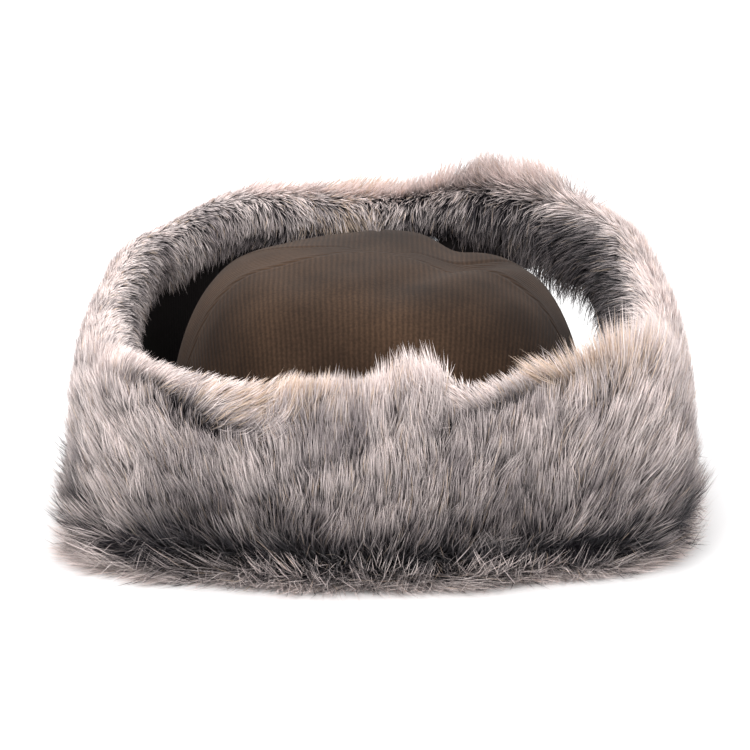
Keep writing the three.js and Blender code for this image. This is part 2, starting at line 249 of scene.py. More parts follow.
def spline_weights(count, samples):
    """Weights of a cubic B-spline with its end points tripled, one row for each sample."""
    knots = np.concatenate([[0, 0], np.arange(count), [count - 1, count - 1]])
    u = np.linspace(0, len(knots) - 3 - 1e-9, samples)
    low = np.floor(u).astype(int)
    t = u - low
    basis = np.stack(
        [(1 - t) ** 3, 3 * t**3 - 6 * t**2 + 4, -3 * t**3 + 3 * t**2 + 3 * t + 1, t**3], 1
    )
    weights = np.zeros((samples, count))
    for k in range(4):
        np.add.at(weights, (np.arange(samples), knots[low + k]), basis[:, k] / 6)
    return weights


def flap_face(flap, rows, across, samples):
    """A face of a flap on a grid of (across, along the section), in millimetres.

    Each row of the section takes its own angles between the side edges, then a B-spline
    through the rows rounds the section.
    """
    toe, up, above, out, pile = rows.T
    ends = []
    for end in ("from", "to"):
        angle = np.full(len(rows), float(FLAPS[flap][end][0]))
        for _ in range(3):
            radius, z = section_place(angle, toe, up, above, out, pile)
            angle = side_angle(flap, end, radius, z)
        ends.append(angle)
    angle = ends[0] + (ends[1] - ends[0]) * across[:, None]
    radius, z = section_place(angle, toe, up, above, out, pile)
    points = place(angle, radius, z)
    return np.einsum("sk,nkx->nsx", spline_weights(len(rows), samples), points)


def section_place(angle, toe, up, above, out, pile):
    """Radius and height of section rows at their angles."""
    depth = PILE_DEPTH * ring_share(angle, "pile")
    rise = FLAP_RISE * ring_share(angle, "rise")
    start = np.where(toe > 0, crown_radius(angle), flap_radius(angle, up))
    return start + out + pile * depth, rise * up + above


def make_object(name, vertices, faces, uv, uv_name="Weave"):
    """Puts arrays into a mesh: vertices, a list of face arrays, and UVs corner by corner."""
    mesh = bpy.data.meshes.new(name)
    corners = np.concatenate([f.reshape(-1) for f in faces]).astype(np.int32)
    sizes = np.concatenate([np.full(len(f), f.shape[1]) for f in faces])
    starts = np.concatenate([[0], np.cumsum(sizes)[:-1]]).astype(np.int32)
    mesh.vertices.add(len(vertices))
    mesh.vertices.foreach_set("co", to_frame(vertices).astype(np.float32).ravel())
    mesh.loops.add(len(corners))
    mesh.loops.foreach_set("vertex_index", corners)
    mesh.polygons.add(len(starts))
    mesh.polygons.foreach_set("loop_start", starts)
    mesh.update(calc_edges=True)
    mesh.polygons.foreach_set("use_smooth", np.full(len(starts), True))
    layer = mesh.uv_layers.new(name=uv_name)
    layer.data.foreach_set("uv", uv.astype(np.float32).ravel())
    mesh.validate()
    piece = bpy.data.objects.new(name, mesh)
    bpy.context.collection.objects.link(piece)
    return piece


def grid_quads(rows, columns, wrap=False):
    """Corner numbers of the quads of a grid whose vertices run column by column."""
    i = np.arange(rows - 1)[:, None]
    j = np.arange(columns if wrap else columns - 1)[None, :]
    k = (j + 1) % columns
    quads = np.stack(np.broadcast_arrays(i * columns + j, i * columns + k,
                                         (i + 1) * columns + k, (i + 1) * columns + j), -1)
    return quads.reshape(-1, 4)


def make_wall(name, outer, inner):
    """A closed wall between two grids of the same size, with a strip along all four sides.

    Its UVs are lengths in metres across and along the outer grid.
    """
    n, m = outer.shape[:2]
    vertices = np.vstack([outer.reshape(-1, 3), inner.reshape(-1, 3)])
    front = grid_quads(n, m)
    back = front[:, ::-1] + n * m
    loop = np.concatenate([np.arange(m), np.arange(1, n) * m + m - 1,
                           (n - 1) * m + np.arange(m - 2, -1, -1), np.arange(n - 2, 0, -1) * m])
    turned = np.roll(loop, -1)
    rim = np.stack([turned, loop, loop + n * m, turned + n * m], -1)
    faces = np.vstack([front, back, rim])
    length = np.linalg.norm(np.diff(outer, axis=1), axis=-1).cumsum(1)
    v = np.hstack([np.zeros((n, 1)), length])
    width = np.linalg.norm(np.diff(outer, axis=0), axis=-1).cumsum(0)
    u = np.vstack([np.zeros((1, m)), width])
    grid_uv = np.stack([u, v], -1).reshape(-1, 2) * 0.001
    uv = np.vstack([grid_uv, grid_uv])[faces.ravel()]
    return make_object(name, vertices, [faces], uv)


def turn_out(piece):
    """Turns every face of a closed piece outwards."""
    work = bmesh.new()
    work.from_mesh(piece.data)
    bmesh.ops.recalc_face_normals(work, faces=work.faces)
    work.to_mesh(piece.data)
    work.free()


def new_material(name):
    """A material with an empty tree but for its shader and output."""
    material = bpy.data.materials.new(name)
    material.use_nodes = True
    nodes, links = material.node_tree.nodes, material.node_tree.links
    nodes.clear()
    shader = nodes.new("ShaderNodeBsdfPrincipled")
    output = nodes.new("ShaderNodeOutputMaterial")
    links.new(shader.outputs["BSDF"], output.inputs["Surface"])
    return material, nodes, links, shader


def add_ramp(nodes, links, source, stops):
    """A colour ramp over a value, with (place, colour) stops."""
    ramp = nodes.new("ShaderNodeValToRGB")
    elements = ramp.color_ramp.elements
    while len(elements) < len(stops):
        elements.new(0.5)
    for element, (position, colour) in zip(elements, stops):
        element.position = position
        element.color = (*colour, 1.0)
    links.new(source, ramp.inputs["Fac"])
    return ramp.outputs["Color"]


def add_math(nodes, links, operation, first, second=None, third=None):
    """A Math node; numbers go on its sockets and outputs are linked."""
    node = nodes.new("ShaderNodeMath")
    node.operation = operation
    for k, value in enumerate((first, second, third)):
        if value is None:
            continue
        if isinstance(value, (int, float)):
            node.inputs[k].default_value = value
        else:
            links.new(value, node.inputs[k])
    return node.outputs["Value"]


def add_mix(nodes, links, factor, first, second, blend="MIX"):
    """A colour Mix node."""
    node = nodes.new("ShaderNodeMix")
    node.data_type = "RGBA"
    node.blend_type = blend
    for socket, value in ((node.inputs[0], factor), (node.inputs[6], first), (node.inputs[7], second)):
        if isinstance(value, (int, float)):
            socket.default_value = value
        elif isinstance(value, tuple):
            socket.default_value = (*value, 1.0)
        else:
            links.new(value, socket)
    return node.outputs[2]


def add_noise(nodes, links, scale, detail=3.0, vector=None):
    """Noise in Object coordinates, or along a given vector."""
    noise = nodes.new("ShaderNodeTexNoise")
    noise.inputs["Scale"].default_value = scale
    noise.inputs["Detail"].default_value = detail
    if vector is None:
        vector = nodes.new("ShaderNodeTexCoord").outputs["Object"]
    links.new(vector, noise.inputs["Vector"])
    return noise.outputs["Fac"]


def corduroy_material(name, light, dark, pitch, relief, sheen):
    """Corduroy: rounded wales across U, worn in pale patches, with painted shade in their grooves."""
    material, nodes, links, shader = new_material(name)
    uv = nodes.new("ShaderNodeUVMap")
    uv.uv_map = "Weave"
    split = nodes.new("ShaderNodeSeparateXYZ")
    links.new(uv.outputs["UV"], split.inputs["Vector"])
    wander = add_noise(nodes, links, 55.0, 2.0)
    place_u = add_math(nodes, links, "MULTIPLY_ADD", wander, 0.0012, split.outputs["X"])
    phase = add_math(nodes, links, "MULTIPLY", place_u, 2 * np.pi / pitch)
    wave = add_math(nodes, links, "SINE", phase)
    wale = add_math(nodes, links, "MULTIPLY_ADD", wave, 0.5, 0.5)
    tuft = add_noise(nodes, links, 900.0, 4.0)
    height = add_math(nodes, links, "MULTIPLY_ADD", tuft, 0.45, wale)
    worn = add_noise(nodes, links, 16.0, 5.0)
    patches = add_ramp(nodes, links, worn, [(0.35, dark), (0.68, light)])
    # Painted shade: the colour darkens towards the bottom of each groove between the wales
    groove_shade = add_math(nodes, links, "MULTIPLY_ADD", wale, 0.35, 0.65)
    # Worn patches, times the painted shade of the grooves
    wear_and_groove_shade = add_mix(nodes, links, 1.0, patches, groove_shade, "MULTIPLY")
    speck = add_ramp(nodes, links, tuft, [(0.3, (0.72, 0.72, 0.72)), (0.7, (1.2, 1.18, 1.15))])
    colour = add_mix(nodes, links, 1.0, wear_and_groove_shade, speck, "MULTIPLY")
    links.new(colour, shader.inputs["Base Color"])
    bump = nodes.new("ShaderNodeBump")
    bump.inputs["Strength"].default_value = 0.4
    bump.inputs["Distance"].default_value = relief
    links.new(height, bump.inputs["Height"])
    links.new(bump.outputs["Normal"], shader.inputs["Normal"])
    shader.inputs["Roughness"].default_value = 0.88
    shader.inputs["Specular IOR Level"].default_value = 0.12
    shader.inputs["Sheen Weight"].default_value = sheen
    shader.inputs["Sheen Roughness"].default_value = 0.5
    return material


# Tones of hair: grey hair has tones up to the first, and warmer hair from the second to 1
GREY_TONE, WARM_TONE = 0.72, 0.78


def fur_material(look):
    """Hair whose colour depends only on its UV: along the hair, and a tone for each hair."""
    material, nodes, links, shader = new_material("grey_fur")
    uv = nodes.new("ShaderNodeUVMap")
    uv.uv_map = "OFBake"
    split = nodes.new("ShaderNodeSeparateXYZ")
    links.new(uv.outputs["UV"], split.inputs["Vector"])
    along, tone = split.outputs["X"], split.outputs["Y"]
    root = tuple(look.fur_root)
    tip = tuple(look.fur_tip)
    middle = tuple(0.42 * t + 0.10 * r for t, r in zip(tip, root))
    cool = add_ramp(nodes, links, along, [(0.0, root), (0.3, root), (0.56, middle), (0.88, tip)])
    warm_tip = (tip[0] * 0.9, tip[1] * 0.8, tip[2] * 0.66)
    warm_middle = tuple(0.45 * c for c in warm_tip)
    warm_stops = [(0.0, root), (0.25, root), (0.5, warm_middle), (0.85, warm_tip)]
    warm = add_ramp(nodes, links, along, warm_stops)
    is_warm = add_math(nodes, links, "GREATER_THAN", tone, 0.5 * (GREY_TONE + WARM_TONE))
    levels = [
        (0.0, (0.3, 0.29, 0.31)),
        (0.25, (0.62, 0.61, 0.63)),
        (0.5, (0.95, 0.95, 0.95)),
        (GREY_TONE, (1.25, 1.24, 1.24)),
        (0.76, (0.7, 0.7, 0.7)),
        (1.0, (1.1, 1.1, 1.1)),
    ]
    level = add_ramp(nodes, links, tone, levels)
    hair = add_mix(nodes, links, is_warm, cool, warm)
    colour = add_mix(nodes, links, 1.0, hair, level, "MULTIPLY")
    links.new(colour, shader.inputs["Base Color"])
    shader.inputs["Roughness"].default_value = 0.55
    shader.inputs["Specular IOR Level"].default_value = 0.2
    shader.inputs["Sheen Weight"].default_value = 0.15
    return material


def undercoat_material(look):
    """Dark matted down under the hair."""
    material, nodes, links, shader = new_material("undercoat")
    fuzz = add_noise(nodes, links, 600.0, 4.0)
    patches = add_noise(nodes, links, 60.0, 3.0)
    root = tuple(look.fur_root)
    dark, light = (tuple(share * c for c in root) for share in (0.5, 1.8))
    tint = add_ramp(nodes, links, fuzz, [(0.35, dark), (0.7, light)])
    colour = add_mix(nodes, links, patches, tint, root)
    links.new(colour, shader.inputs["Base Color"])
    bump = nodes.new("ShaderNodeBump")
    bump.inputs["Strength"].default_value = 0.8
    bump.inputs["Distance"].default_value = 0.0012
    links.new(fuzz, bump.inputs["Height"])
    links.new(bump.outputs["Normal"], shader.inputs["Normal"])
    shader.inputs["Roughness"].default_value = 0.95
    shader.inputs["Specular IOR Level"].default_value = 0.1
    return material


def metal_material():
    """Polished metal with fine scratches."""
    material, nodes, links, shader = new_material("stud_metal")
    scratch = add_noise(nodes, links, 2200.0, 5.0)
    colour = add_ramp(nodes, links, scratch, [(0.3, (0.62, 0.65, 0.7)), (0.7, (0.82, 0.84, 0.88))])
    links.new(colour, shader.inputs["Base Color"])
    rough = add_math(nodes, links, "MULTIPLY_ADD", scratch, 0.2, 0.12)
    links.new(rough, shader.inputs["Roughness"])
    shader.inputs["Metallic"].default_value = 1.0
    return material


def seam_distance(turn):
    """Angle to the nearest seam of the crown, in degrees."""
    away = np.abs(np.mod(turn[..., None] - np.array(CROWN_SEAMS) + 180.0, 360.0) - 180.0)
    return away.min(-1)


# Soft forms of the crown: across and along as shares of its half width, reach in the same
# shares across and along, turn of the form in degrees, and height in millimetres
CROWN_FORMS = (
    (0.36, 0.5, 0.1, 0.3, 8.0, -3.2),
    (0.44, 0.4, 0.2, 0.45, 0.0, -4.5),
    (0.7, 0.4, 0.25, 0.45, 0.0, -1.5),
    (0.3, -0.2, 0.11, 0.42, 35.0, -3.4),
    (0.05, 0.1, 0.4, 0.3, 0.0, 1.8),
    (-0.6, 0.3, 0.22, 0.45, -20.0, 2.2),
    (-0.35, -0.45, 0.1, 0.45, -25.0, -1.2),
    (0.62, -0.35, 0.09, 0.4, 30.0, -1.4),
)


def crown_surface(turn, climb, inset):
    """The crown's cloth in millimetres, over its turn in degrees and climb from 0 to 1.

    Radius is the plan's times the cosine of the lift to a small power, and height goes by the
    sine. Panels sink towards their seams, a narrow groove follows each seam, and dents, bumps
    and soft waves are added along the lift's direction.
    """
    lift = 0.5 * np.pi * climb
    sunk = np.exp(-((seam_distance(turn) / SEAM_REACH) ** 2))
    swell = -PANEL_SWELL * sunk * np.sin(np.pi * (0.1 + 0.9 * climb))
    radius = (crown_radius(turn) - inset) * np.cos(lift) ** 0.44
    point = place(turn, radius + swell * np.cos(lift), 0.0)
    x, y = point[..., 0] / CROWN_HALF_WIDTH, point[..., 1] / CROWN_HALF_WIDTH
    sag = sum(d * np.exp(-((x - a) ** 2 + (y - b) ** 2) / r**2) for a, b, r, d in DENTS)
    z = (CROWN_HEIGHT - inset) * np.sin(lift) ** 0.88 * (1 - sag)
    away = seam_distance(turn) * np.radians(1.0) * radius
    fade = np.clip((1 - climb) / 0.08, 0, 1) * np.clip(climb / 0.05, 0, 1)
    groove = -0.6 * np.exp(-((away / 1.2) ** 2)) + 0.25 * np.exp(-(((away - 3.4) / 2.0) ** 2))
    waves = 0.7 * np.sin(5.0 * x + 3.1 * y + 1.0) * np.sin(2.7 * y - 4.2 * x)
    waves = waves + 0.35 * np.sin(11.0 * x - 6.0 * y) * np.sin(9.0 * y + 2.0 * x)
    forms = 0.0
    for across, along, wide, long, angle, height in CROWN_FORMS:
        c, s = np.cos(np.radians(angle)), np.sin(np.radians(angle))
        u, v = (x - across) * c - (y - along) * s, (x - across) * s + (y - along) * c
        forms = forms + height * np.exp(-((u / wide) ** 2) - (v / long) ** 2)
    swelling = np.sin(np.pi * np.clip(0.12 + 0.88 * climb, 0, 0.62) / 1.24)
    push = groove * fade + (waves + forms) * swelling
    normal = place(turn, np.cos(lift), 0.0)
    normal[..., 2] = np.sin(lift)
    point[..., 2] = HEM_HEIGHT + z
    return point + push[..., None] * normal


class HatSizes(bpy.types.PropertyGroup):
    """Sizes that change how the dressing is built."""

    wale_pitch: FloatProperty(
        name="Wale pitch", description="Distance between corduroy wales",
        default=0.0018, unit="LENGTH",
    )
    hair_width: FloatProperty(
        name="Hair width", description="Width of a hair strip at its root",
        default=0.00048, unit="LENGTH",
    )


class HatColours(bpy.types.PropertyGroup):
    """Colours of the finishes."""

    corduroy_light: FloatVectorProperty(
        name="Worn corduroy", description="Colour of the wales where they are worn",
        subtype="COLOR", default=(0.08, 0.0465, 0.0285),
    )
    corduroy_dark: FloatVectorProperty(
        name="Fresh corduroy", description="Colour of the unworn pile",
        subtype="COLOR", default=(0.026, 0.0145, 0.009),
    )
    cloth: FloatVectorProperty(
        name="Flap cloth", description="Colour of the cloth inside the flaps",
        subtype="COLOR", default=(0.009, 0.0075, 0.0075),
    )
    fur_root: FloatVectorProperty(
        name="Fur root", description="Colour at the root of a hair",
        subtype="COLOR", default=(0.026, 0.023, 0.029),
    )
    fur_tip: FloatVectorProperty(
        name="Fur tip", description="Colour at the tip of a hair",
        subtype="COLOR", default=(0.82, 0.725, 0.70),
    )


class BuildCrown(bpy.types.Operator):
    """Build the six-panel corduroy crown"""

    bl_idname = "winter_hat.build_crown"
    bl_label = "Crown"

    def execute(self, context):
        sizes, look = context.scene.hat_sizes, context.scene.hat_colours
        columns, outer_rows, inner_rows, top = 300, 80, 14, 0.985
        turn = np.arange(columns) * 360.0 / columns
        climb = np.concatenate([np.linspace(top, 0, outer_rows), np.linspace(0, top, inner_rows)])
        inset = np.concatenate([np.zeros(outer_rows), np.full(inner_rows, CROWN_WALL)])
        grid = crown_surface(turn[None, :], climb[:, None], inset[:, None])
        grid[outer_rows - 1 : outer_rows + 1, :, 2] = HEM_HEIGHT
        poles = np.array([grid[0].mean(0), grid[-1].mean(0)])
        vertices = np.vstack([grid.reshape(-1, 3), poles])
        quads = grid_quads(len(climb), columns, wrap=True)[:, ::-1]
        ring = np.arange(columns)
        after = (ring + 1) % columns
        last = (len(climb) - 1) * columns
        cap = np.stack([ring, after, np.full(columns, len(vertices) - 2)], -1)
        under = np.stack([after + last, ring + last, np.full(columns, len(vertices) - 1)], -1)
        faces = [quads, cap, under]
        piece = make_object("crown_cloth", vertices, faces, self.panel_uv(vertices, faces))
        turn_out(piece)
        piece.data.materials.append(
            corduroy_material("crown_corduroy", tuple(look.corduroy_light),
                              tuple(look.corduroy_dark), sizes.wale_pitch, 0.0004, 0.04)
        )
        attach(piece, "root")
        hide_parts("crown")
        return {"FINISHED"}

    @staticmethod
    def panel_uv(vertices, faces):
        """U runs across the wales and V along them, both in metres.

        The front and back panels are cut with the wales up and over, fanning out a little, and
        the side panels with them upright.
        """
        reach = 1.06 * CROWN_HALF_WIDTH
        uv = []
        for block in faces:
            corners = vertices[block]
            middle = corners.mean(1)
            turn = np.mod(np.degrees(np.arctan2(middle[:, 0], -middle[:, 1])), 180.0)
            side = ((turn > CROWN_SEAMS[1]) & (turn < CROWN_SEAMS[2]))[:, None]
            across = np.where(side, 0.9 * corners[..., 1], corners[..., 0])
            across = across * (1 - 0.22 * corners[..., 2] / CROWN_HEIGHT)
            u = reach * np.arcsin(np.clip(across / reach, -1, 1))
            uv.append(np.stack([u, corners[..., 2]], -1).reshape(-1, 2))
        return np.vstack(uv) * 0.001


class BuildFlapCloth(bpy.types.Operator):
    """Build the cloth face of every flap, towards the crown"""

    bl_idname = "winter_hat.build_flap_cloth"
    bl_label = "Flap cloth"

    def execute(self, context):
        look = context.scene.hat_colours
        plain = tuple(look.cloth)
        worn = tuple(1.5 * c for c in plain)
        material = corduroy_material("flap_corduroy", worn, plain, 0.0013, 0.00015, 0.02)
        for flap in FLAPS:
            across = np.linspace(0, 1, 61)
            outer = flap_face(flap, cloth_rows(0.0), across, 40)
            inner = flap_face(flap, cloth_rows(CLOTH_WALL), across, 40)
            piece = make_wall(flap + "_lining", outer, inner)
            turn_out(piece)
            piece.data.materials.append(material)
            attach(piece, "root")
            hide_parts(flap + "_cloth")
        return {"FINISHED"}


# Along a flap's section, from under its toe (0) over the crest to inside its top edge (1):
# tilt of the hair from the backing in degrees, how thick it grows and how long it is against
# the depth it fills; under the parting it tilts by FRINGE_TILT
COAT_PLACE = (0.0, 0.2, 0.27, 0.33, 0.38, 0.46, 0.54, 0.6, 0.66, 0.74, 0.84, 1.0)
COAT_TILT = (10, 25, 40, 44, 44, 42, 38, 38, 42, 40, 26, 16)
COAT_GROWTH = (0.15, 1.1, 1.4, 0.8, 0.85, 1.0, 1.05, 1.2, 1.4, 1.4, 1.2, 0.9)
COAT_REACH = (0.8, 1.7, 1.45, 1.15, 1.08, 1.05, 1.05, 1.0, 0.95, 1.0, 1.1, 1.1)
FRINGE_TILT = 54.0

# Round the hat: lean of the hair on the outside and on the crest, in radians towards a larger
# angle, how much painted shade falls on the inner edge over its dark roots, by how many
# millimetres its hair is longer, and the shares of the full length that the hair over the
# parting and under it reaches
LEAN_ANGLE = (0, 20, 45, 70, 90, 120, 142, 155, 166, 180, 200, 215, 240, 270, 290, 315, 340)
OUTER_LEAN = (0, 0.1, 0.5, 0.25, 0.1, 0.1, 0.1, 0, 0, 0, 0, -0.1, -0.1, -0.1, -0.25, -0.5, -0.1)
CREST_LEAN = (0, 0.2, 0.5, 0.8, 0.9, 0.9, 0.8, 0.2, -0.5, -0.8, -0.9, -0.7, -0.8, -0.9, -0.8, -0.2, 0)
INNER_SHADE_AND_ROOTS = (0, 0, 0.1, 0.6, 1, 1, 1, 1, 0.8, 0.4, 0.2, 0.2, 0.3, 0.4, 0.3, 0, 0)
INNER_EXTRA = (0, 0, 2, 14, 19, 21, 19, 10, 4, 2, 2, 2, 2, 3, 2, 0, 0)
UPPER_REACH = (1, 1, 0.85, 0.7, 0.75, 0.85, 1, 1, 1, 1, 0.75, 0.5, 0.42, 0.42, 0.5, 0.75, 0.95)
FRINGE_REACH = (1.15, 1.05, 0.9, 0.85, 0.9, 1, 1, 1, 1, 1, 1, 1, 1, 0.9, 0.75, 1.15, 1.3)

# Places where the crest's hair stands higher or lower: angle, half spread, extra share
CREST_TUFTS = (
    (8.6, 7.0, 1.1),
    (19.0, 4.0, -0.4),
    (36.0, 9.0, 0.8),
    (48.0, 12.0, 0.8),
    (143.0, 4.0, 0.4),
    (155.0, 13.0, 0.9),
    (166.0, 3.0, 0.5),
    (188.0, 14.0, 0.7),
    (206.0, 2.0, 0.5),
    (222.0, 9.0, -0.45),
    (342.0, 8.0, 0.25),
)

# Creases where one flap's coat lies over the next: angles and heights of their lines
CREASES = (
    ((-43.0, -36.0, -32.5, -27.0, -22.0), (77.0, 70.5, 64.0, 59.0, 57.5)),
    ((15.0, 19.5, 23.5, 30.0, 36.0), (65.0, 69.0, 72.0, 75.0, 74.0)),
)

# Patches of warmer hair: angle and height of the middle, spread in degrees and millimetres
WARM_PATCHES = (
    (-20.0, 69.0, 12.0, 8.0),
    (37.0, 74.0, 7.0, 9.0),
    (188.0, 97.0, 7.0, 6.0),
    (95.0, 50.0, 14.0, 12.0),
)

# Shares of the section: the hair parts at the first, to rise above it and fall below it as
# far as the second, and its inner edge begins at the third
PART_LINE = 0.285
UNDERSIDE = 0.235
INNER_LOW = 0.82

# Share of the pile's depth that the undercoat fills
UNDERCOAT = 0.54

# Angle round which the hair is short, clear of the press stud
STUD_ANGLE = 168.0

# Radius that turns angles into lengths round the hat, for the patterns of the hair
MEAN_RADIUS = 125.0

# Heights in millimetres: hair bows over from the first, and no tip gets past it by the second
HAIR_BOW, HAIR_SPAN = 121.0, 10.5

# Tufts, large and small: size in millimetres, share of the pull and spread of the tone
TUFTS = ((13.0, 0.4, 0.06), (5.0, 1.0, 0.08))

# Hair of each kind: count on an ear flap, lengths in it, share of the full length, spread of
# its sway in radians, pull towards its tuft and shift of its tone
COATS = {
    "down": {"count": 30000, "steps": 2, "length": 0.8, "sway": 0.36, "pull": 0.25, "tone": -0.06},
    "guard": {"count": 22000, "steps": 3, "length": 1.0, "sway": 0.26, "pull": 0.5, "tone": 0.06},
}

# How much hair a flap has against an ear flap
HAIR_SHARE = {"visor": 1.3, "neck": 0.78, "ear_left": 1.0, "ear_right": 1.0}


def round_table(turn, values):
    """A column of the lean table at an angle, in straight steps round the hat."""
    return np.interp(np.mod(turn, 360.0), LEAN_ANGLE + (360,), values + values[:1])


def bump(value, middle, spread):
    """A bell curve: 1 at the middle, 1/e at the spread."""
    return np.exp(-(((value - middle) / spread) ** 2))


def bump_round(turn, middle, spread):
    """A bell curve over the angle round the hat."""
    return bump(np.mod(turn - middle + 180.0, 360.0), 180.0, spread)


def soft_noise(x, y, seed, scale):
    """Smooth waves of a few lengths and ways added together, from about -1 to 1."""
    rng = seeded(seed)
    total = np.zeros_like(x)
    for _ in range(5):
        way = rng.uniform(0, 2 * np.pi)
        pace = rng.uniform(0.6, 1.5) * 2 * np.pi / scale
        phase = rng.uniform(0, 2 * np.pi)
        total += np.sin((x * np.cos(way) + y * np.sin(way)) * pace + phase)
    return total / 3.0


def unit(vectors):
    """Vectors of length one."""
    return vectors / np.maximum(np.linalg.norm(vectors, axis=-1, keepdims=True), 1e-9)


def grid_sample(grid, a, s):
    """Values of a grid between its points, weighted by how near each of the four is."""
    i = np.minimum(np.floor(a).astype(int), grid.shape[0] - 2)
    j = np.minimum(np.floor(s).astype(int), grid.shape[1] - 2)
    x, y = (a - i)[:, None], (s - j)[:, None]
    low = grid[i, j] * (1 - x) + grid[i + 1, j] * x
    high = grid[i, j + 1] * (1 - x) + grid[i + 1, j + 1] * x
    return low * (1 - y) + high * y


def pile_grid(flap, across, samples, depth):
    """A face between the backing (0) and the pile's own face (1)."""
    pile = flap_face(flap, PILE_FACE, across, samples)
    backing = flap_face(flap, BACKING_FACE, across, samples)
    return backing + (pile - backing) * depth


def gather(values, group, total):
    """Mean of the values in each group."""
    size = np.maximum(np.bincount(group, minlength=total), 1)
    return np.stack([np.bincount(group, column, total) for column in values.T], 1) / size[:, None]


def tuft_groups(arc, rise, cell, seed):
    """Numbers of the tufts that hairs belong to: cells of a lattice bent by slow waves."""
    bent = arc + 0.45 * cell * soft_noise(arc, rise, seed, 3.5 * cell)
    risen = rise + 0.6 * cell * soft_noise(arc, rise, seed + 1, 4.0 * cell)
    row = np.round(risen / (1.6 * cell))
    column = np.round(bent / cell + 0.5 * np.mod(row, 2))
    keys, group = np.unique(np.stack([column, row], 1), axis=0, return_inverse=True)
    return group.ravel(), len(keys)


def spread_roots(ways, count, rng):
    """Grid places of hair roots, spread by area and by how thick the coat grows there."""
    area = np.linalg.norm(np.cross(*ways), axis=-1)
    columns, samples = area.shape
    area = area * np.interp(np.linspace(0, 1, samples), COAT_PLACE, COAT_GROWTH)
    cell = rng.choice(area.size, count, p=area.ravel() / area.sum())
    i, j = np.unravel_index(cell, area.shape)
    a = np.clip(i + rng.uniform(-0.5, 0.5, count), 0, columns - 1 - 1e-6)
    s = np.clip(j + rng.uniform(-0.5, 0.5, count), 0, samples - 1 - 1e-6)
    return a, s


def grow_hair(flap, number, coat, width):
    """Hair strips over a flap's undercoat, as vertices, faces and UVs.

    Roots are spread by area. A hair is as long as it must be to reach the pile's own face at
    its tilt. It bends up as it grows, and is drawn to the middle line of its small tuft and,
    less, of its large one, by a share that grows with a power of the way along it.
    """
    rng = seeded(number)
    count, steps = int(coat["count"] * HAIR_SHARE[flap]), coat["steps"]
    columns, samples = 161, 131
    across = np.linspace(0, 1, columns)
    base = pile_grid(flap, across, samples, UNDERCOAT)
    depth = np.linalg.norm(pile_grid(flap, across, samples, 1.0) - base, axis=-1)
    ways = (np.gradient(base, axis=1), np.gradient(base, axis=0))
    a, s = spread_roots(ways, count, rng)
    root = grid_sample(base, a, s)
    share = s / (samples - 1)
    turn = np.degrees(np.arctan2(root[:, 0], -root[:, 1]))
    arc = np.radians(turn) * MEAN_RADIUS
    section = np.linalg.norm(np.diff(base[columns // 2], axis=0), axis=-1)
    rise = np.interp(s, np.arange(samples), np.concatenate([[0], np.cumsum(section)]))

    folded, ridge = crease_effect(turn, root[:, 2], share)
    part = PART_LINE + 0.02 * soft_noise(arc, arc, 20, 48.0) + 0.014 * soft_noise(arc, arc, 25, 15.0)
    part = part + rng.normal(0, 0.01, count)
    hangs = over_opening(turn, root[:, 2], share)
    falls = (((share > UNDERSIDE) & (share < part)) | hangs).astype(float)
    sway = 0.26 * soft_noise(arc, rise, 21, 70.0) + 0.26 * soft_noise(arc, rise, 22, 22.0)
    sway = sway + hair_lean(turn, share) + ridge + edge_lean(flap, a / (columns - 1), root, share)
    reach = hair_reach(turn, share, grid_sample(depth[..., None], a, s)[:, 0])
    reach = reach * (1 + 0.15 * soft_noise(arc, rise, 23, 17.0)) * (1 - 0.55 * folded)
    traits = np.stack([a, s, sway, reach * coat["length"], falls], 1)
    stretch = rng.uniform(0.72, 1.15, count)
    line = hair_lines(base, ways, traits, steps, rng.normal(0, 8.0, count),
                      rng.normal(0, coat["sway"], count), stretch)
    t = (np.arange(steps + 1) / steps)[None, :, None]
    tone = 0.44 + coat["tone"] + rng.normal(0, 0.09, count)
    loose = 1 - 0.5 * np.clip((share - 0.55) / 0.05, 0, 1)
    for size, share_of_pull, spread in TUFTS:
        group, total = tuft_groups(arc, rise, size, 60)
        tuft = seeded(900 + int(size))
        lines = hair_lines(base, ways, gather(traits, group, total), steps,
                           tuft.normal(0, 6.0, total), tuft.normal(0, 0.18, total),
                           tuft.uniform(0.82, 1.12, total))
        pull = coat["pull"] * share_of_pull * rng.uniform(0.5, 1.3, count) * loose
        pull = pull[:, None, None] * t**1.5
        line = line + (lines[group] - line) * pull
        tone = tone + tuft.normal(0, spread, total)[group]
    lowest = 0.3 + 1.8 * rng.uniform(0, 1, count)[:, None]
    line[..., 2] = np.maximum(line[..., 2], lowest)
    over = np.maximum(line[..., 2] - HAIR_BOW, 0)
    line[..., 2] = line[..., 2] - over + HAIR_SPAN * np.tanh(over / HAIR_SPAN)

    inner = inner_shade_and_roots(turn, share)
    # Dark roots showing over the parting, with painted shade in the creases and on the inner edge
    roots_and_shade = np.clip(band_darkness(arc, share, part) + 0.8 * folded + 0.95 * inner, 0, 1)
    # Painted shade on the hair that hangs over the opening
    roots_and_shade = np.maximum(roots_and_shade, 0.8 * hangs)
    tone = tone + 0.09 * soft_noise(arc, rise * 0.35, 31, 14.0) + 0.07 * soft_noise(arc, rise, 32, 45.0)
    # The tone darkens with the painted shade and the dark roots, and lightens under the parting
    tone = tone - 0.22 * roots_and_shade - 0.16 * inner + 0.12 * np.clip((part - share) / 0.02, 0, 1)
    uv = hair_uv(turn, share, share - part, root[:, 2], roots_and_shade, tone, steps, rng)

    normal = unit(np.cross(grid_sample(ways[1], a, s), grid_sample(ways[0], a, s)))
    facing = unit(normal + 0.45 * rng.normal(0, 1, (count, 3)))
    half = 0.5 * width * rng.uniform(0.6, 1.3, count)[:, None, None] * (1 - 0.75 * t**1.6)
    return hair_strips(line, facing, half, uv)


